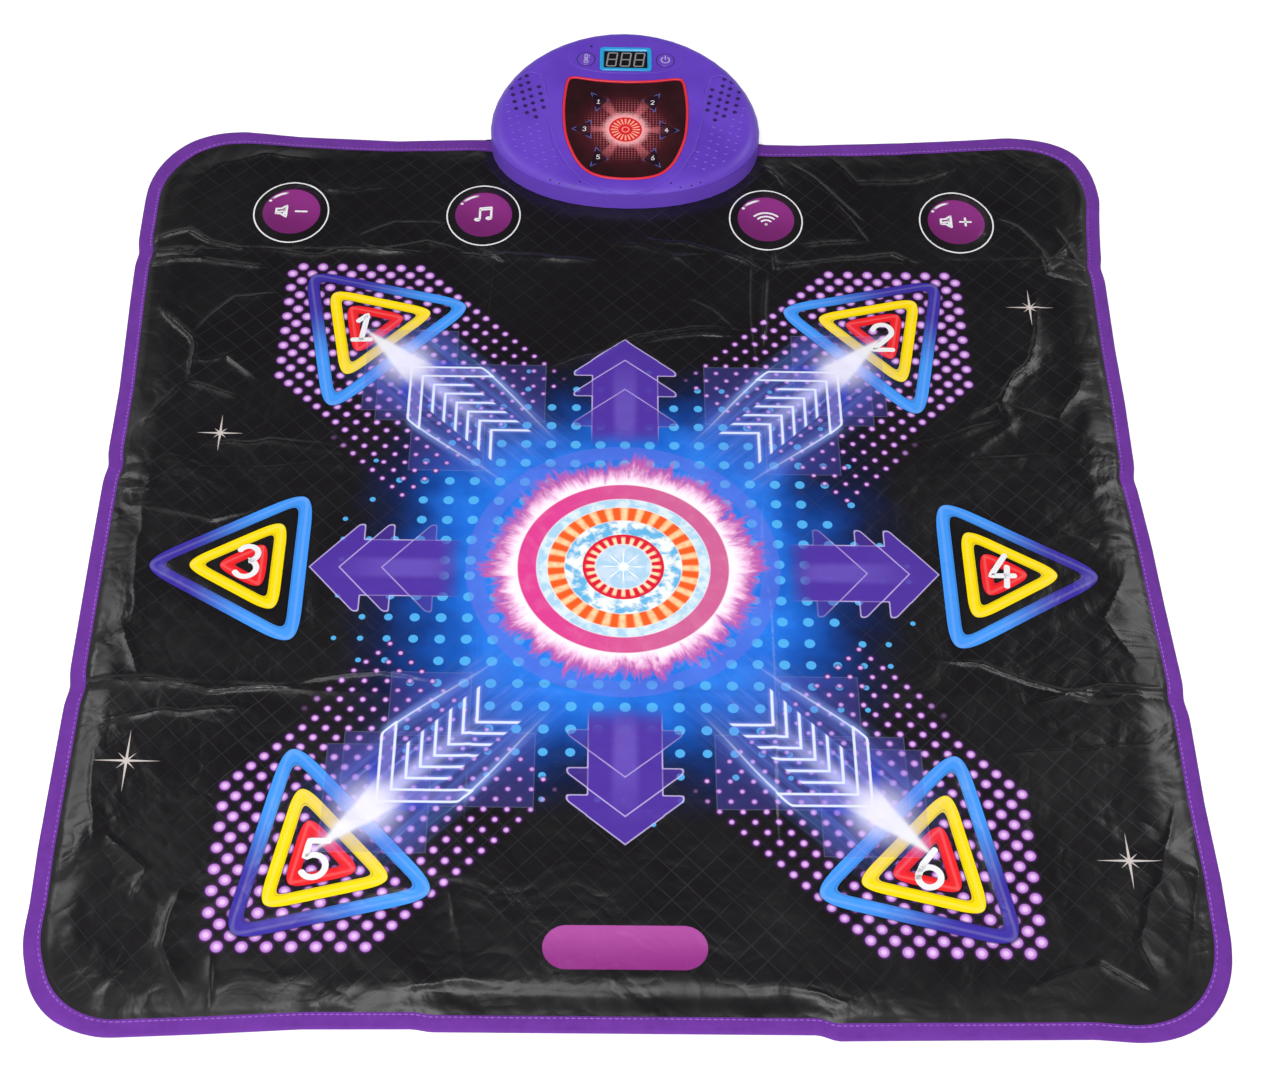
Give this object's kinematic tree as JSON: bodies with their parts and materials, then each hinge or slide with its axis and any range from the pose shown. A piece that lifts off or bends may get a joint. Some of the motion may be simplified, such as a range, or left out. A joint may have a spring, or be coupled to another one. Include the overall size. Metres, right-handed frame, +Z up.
{
  "type": "electronic dance mat",
  "caption": "Folding black vinyl dance mat with triangular step pads, round menu pads and a purple console with display, buttons and speakers on its rear edge.",
  "frame": {"origin": "middle of the whole object on the surface it lies on, half way between the mat's front edge and the console's rear edge", "axes": "+Z up, +Y from the player's side towards the console, +X to the player's right"},
  "size_m": [0.92, 1.107, 0.0467],
  "materials": {
    "case_purple": "satin moulded plastic",
    "base_purple": "satin moulded plastic",
    "button_purple": "satin moulded plastic",
    "bezel_cyan": "gloss moulded plastic",
    "display_black": "gloss tinted face",
    "trim_red": "satin moulded plastic",
    "window_dark_red": "printed clear sheet",
    "board_green": "solder mask",
    "switch_black": "moulded",
    "tail_film": "flexible film",
    "speaker_paper": "paper cone",
    "speaker_steel": "plated steel basket and magnet",
    "steel": "plated steel",
    "cell_wrap": "printed sleeve",
    "foot_rubber": "matte",
    "step_pad_blue": "printed vinyl",
    "menu_pad_plum": "printed vinyl",
    "black_vinyl": "printed satin vinyl",
    "grey_backing": "dotted non-slip backing",
    "clear_film": "polyester film",
    "grey_foam": "foam sheet",
    "purple_tape": "woven edge tape"
  },
  "bodies": {
    "rear mat and console": {"battery_cell_1": "cell_wrap", "battery_cell_2": "cell_wrap", "battery_cell_3": "cell_wrap", "battery_contact_front": "steel", "battery_contact_rear": "steel", "board_screw_1": "steel", "board_screw_2": "steel", "board_screw_3": "steel", "board_screw_4": "steel", "bottom_shell": "base_purple", "clamp_plate": "base_purple", "display_bezel": "bezel_cyan", "display_module": "display_black", "front_screw_1": "steel", "front_screw_2": "steel", "front_screw_3": "steel", "front_screw_4": "steel", "level_switch": "switch_black", "main_board": "board_green", "membrane_tail": "tail_film", "panel_window": "window_dark_red", "power_switch": "switch_black", "rear_back_sheet": "grey_backing", "rear_edge_tape": "purple_tape", "rear_lower_film": "clear_film", "rear_screw_1": "steel", "rear_screw_2": "steel", "rear_spacer_foam": "grey_foam", "rear_top_sheet": "black_vinyl", "rear_upper_film": "clear_film", "rubber_foot_1": "foot_rubber", "rubber_foot_2": "foot_rubber", "rubber_foot_3": "foot_rubber", "rubber_foot_4": "foot_rubber", "speaker_cone_left": "speaker_paper", "speaker_cone_right": "speaker_paper", "speaker_frame_left": "speaker_steel", "speaker_frame_right": "speaker_steel", "top_shell": "case_purple", "window_trim": "trim_red"},
    "power button": {"power_button": "button_purple"},
    "level button": {"level_button": "button_purple"},
    "battery door": {"battery_door": "base_purple", "battery_door_screw": "steel"},
    "front mat": {"front_back_sheet": "grey_backing", "front_edge_tape": "purple_tape", "front_lower_film": "clear_film", "front_spacer_foam": "grey_foam", "front_top_sheet": "black_vinyl", "front_upper_film": "clear_film"},
    "step pad 1": {"step_pad_1": "step_pad_blue"},
    "step pad 2": {"step_pad_2": "step_pad_blue"},
    "volume down pad": {"volume_down_pad": "menu_pad_plum"},
    "mode pad": {"mode_pad": "menu_pad_plum"},
    "wireless pad": {"wireless_pad": "menu_pad_plum"},
    "volume up pad": {"volume_up_pad": "menu_pad_plum"},
    "step pad 3": {"step_pad_3": "step_pad_blue"},
    "step pad 4": {"step_pad_4": "step_pad_blue"},
    "step pad 5": {"step_pad_5": "step_pad_blue"},
    "step pad 6": {"step_pad_6": "step_pad_blue"}
  },
  "joints": [
    {"name": "front_fold", "type": "hinge", "parent": "rear mat and console", "child": "front mat", "pos_m": [0, -0.0115, 0.0053], "axis": [-1, 0, 0], "range_deg": [0, 175.4]},
    {"name": "step_pad_1_press", "type": "slide", "parent": "rear mat and console", "child": "step pad 1", "axis": [0, 0, -1], "range_m": [0, 0.0023], "stiffness_N_per_m": 6000, "springref_m": -0.0002},
    {"name": "step_pad_2_press", "type": "slide", "parent": "rear mat and console", "child": "step pad 2", "axis": [0, 0, -1], "range_m": [0, 0.0023], "stiffness_N_per_m": 6000, "springref_m": -0.0002},
    {"name": "volume_down_pad_press", "type": "slide", "parent": "rear mat and console", "child": "volume down pad", "axis": [0, 0, -1], "range_m": [0, 0.0023], "stiffness_N_per_m": 6000, "springref_m": -0.0002},
    {"name": "mode_pad_press", "type": "slide", "parent": "rear mat and console", "child": "mode pad", "axis": [0, 0, -1], "range_m": [0, 0.0023], "stiffness_N_per_m": 6000, "springref_m": -0.0002},
    {"name": "wireless_pad_press", "type": "slide", "parent": "rear mat and console", "child": "wireless pad", "axis": [0, 0, -1], "range_m": [0, 0.0023], "stiffness_N_per_m": 6000, "springref_m": -0.0002},
    {"name": "volume_up_pad_press", "type": "slide", "parent": "rear mat and console", "child": "volume up pad", "axis": [0, 0, -1], "range_m": [0, 0.0023], "stiffness_N_per_m": 6000, "springref_m": -0.0002},
    {"name": "step_pad_3_press", "type": "slide", "parent": "front mat", "child": "step pad 3", "axis": [0, 0, -1], "range_m": [0, 0.0023], "stiffness_N_per_m": 6000, "springref_m": -0.0002},
    {"name": "step_pad_4_press", "type": "slide", "parent": "front mat", "child": "step pad 4", "axis": [0, 0, -1], "range_m": [0, 0.0023], "stiffness_N_per_m": 6000, "springref_m": -0.0002},
    {"name": "step_pad_5_press", "type": "slide", "parent": "front mat", "child": "step pad 5", "axis": [0, 0, -1], "range_m": [0, 0.0023], "stiffness_N_per_m": 6000, "springref_m": -0.0002},
    {"name": "step_pad_6_press", "type": "slide", "parent": "front mat", "child": "step pad 6", "axis": [0, 0, -1], "range_m": [0, 0.0023], "stiffness_N_per_m": 6000, "springref_m": -0.0002},
    {"name": "power_press", "type": "slide", "parent": "rear mat and console", "child": "power button", "axis": [0, 0.095, -0.9955], "range_m": [0, 0.001], "stiffness_N_per_m": 1500, "springref_m": -0.0003},
    {"name": "level_press", "type": "slide", "parent": "rear mat and console", "child": "level button", "axis": [0, 0.095, -0.9955], "range_m": [0, 0.001], "stiffness_N_per_m": 1500, "springref_m": -0.0003},
    {"name": "battery_door_swing", "type": "hinge", "parent": "rear mat and console", "child": "battery door", "pos_m": [0, 0.4514, 0.0012], "axis": [-1, 0, 0], "range_deg": [0, 100]}
  ]
}
